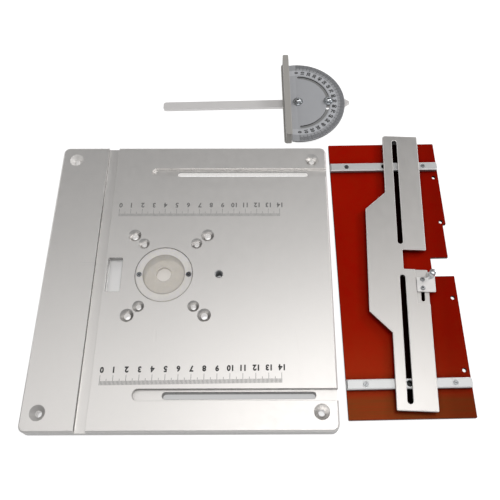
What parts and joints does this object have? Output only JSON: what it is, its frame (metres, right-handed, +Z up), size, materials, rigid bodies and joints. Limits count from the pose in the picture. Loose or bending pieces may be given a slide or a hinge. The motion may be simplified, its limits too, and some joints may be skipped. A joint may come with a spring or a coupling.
{
  "type": "router table",
  "caption": "Aluminium router table plate with mitre slot, scales and bit insert, laid out with its protractor mitre gauge and slotted fence on a board.",
  "frame": {"origin": "centre of the table plate's underside, on the bench plane; the bit axis stands 20 mm to its left, at x = -0.020", "axes": "+Z up out of the table top, +Y along the mitre slot away from the operator, +X across the table towards the fence"},
  "size_m": [0.3461, 0.3528, 0.0204],
  "materials": {
    "satin_aluminium": "fine milled satin aluminium",
    "bar_aluminium": "drawn flat bar, light satin",
    "grey_aluminium": "matt grey anodised",
    "strip_aluminium": "bluish satin with bright bevelled edges",
    "bright_aluminium": "bright satin milled",
    "zinc_steel": "bright zinc plated steel",
    "red_board": "deep red semi-gloss laminate",
    "frosted_acrylic": "clear frosted acrylic"
  },
  "bodies": {
    "table": {"table_plate": "satin_aluminium", "insert_disc": "frosted_acrylic", "insert_screw_left": "zinc_steel", "insert_screw_right": "zinc_steel"},
    "gauge_bar": {"gauge_bar": "bar_aluminium"},
    "gauge_head": {"gauge_protractor": "grey_aluminium", "gauge_fence": "grey_aluminium"},
    "pivot_screw": {"pivot_screw": "zinc_steel", "pivot_washer": "zinc_steel"},
    "lock_screw": {"lock_screw": "zinc_steel", "lock_washer": "zinc_steel"},
    "fence": {"fence_board": "red_board", "strip_far": "strip_aluminium", "strip_near": "strip_aluminium", "strip_screw_far_left": "zinc_steel", "strip_screw_far_right": "zinc_steel", "strip_screw_near_left": "zinc_steel", "strip_screw_near_right": "zinc_steel"},
    "fence_face": {"fence_face": "bright_aluminium"},
    "stop_bracket": {"stop_bracket": "bright_aluminium", "stop_screw_far": "zinc_steel", "stop_screw_near": "zinc_steel", "stop_nut_far": "zinc_steel", "stop_nut_near": "zinc_steel", "roller_pin": "zinc_steel"},
    "stop_roller": {"stop_roller": "zinc_steel"}
  },
  "joints": [
    {"name": "gauge_slide", "type": "slide", "parent": "table", "child": "gauge_bar", "axis": [0.9997, 0.0253, 0], "range_m": [-0.15, 0.02]},
    {"name": "gauge_swing", "type": "hinge", "parent": "gauge_bar", "child": "gauge_head", "pos_m": [0.0963, 0.1811, 0.004], "axis": [0, 0, 1], "range_deg": [-60, 60]},
    {"name": "pivot_turn", "type": "hinge", "parent": "gauge_bar", "child": "pivot_screw", "pos_m": [0.0963, 0.1811, 0.004], "axis": [0, 0, 1], "continuous": true},
    {"name": "lock_turn", "type": "hinge", "parent": "gauge_bar", "child": "lock_screw", "pos_m": [0.12579, 0.18185, 0.004], "axis": [0, 0, 1], "continuous": true},
    {"name": "fence_slide", "type": "slide", "parent": "table", "child": "fence", "axis": [0.9999, 0.0164, 0], "range_m": [0, 0.1]},
    {"name": "face_slide", "type": "slide", "parent": "fence", "child": "fence_face", "axis": [0.0403, 0.9992, 0], "range_m": [-0.018, 0.012]},
    {"name": "stop_slide", "type": "slide", "parent": "fence_face", "child": "stop_bracket", "axis": [0.0403, 0.9992, 0], "range_m": [-0.009, 0]},
    {"name": "roller_spin", "type": "hinge", "parent": "stop_bracket", "child": "stop_roller", "pos_m": [0.20271, -0.00113, 0.014], "axis": [0, 0, 1], "continuous": true}
  ]
}
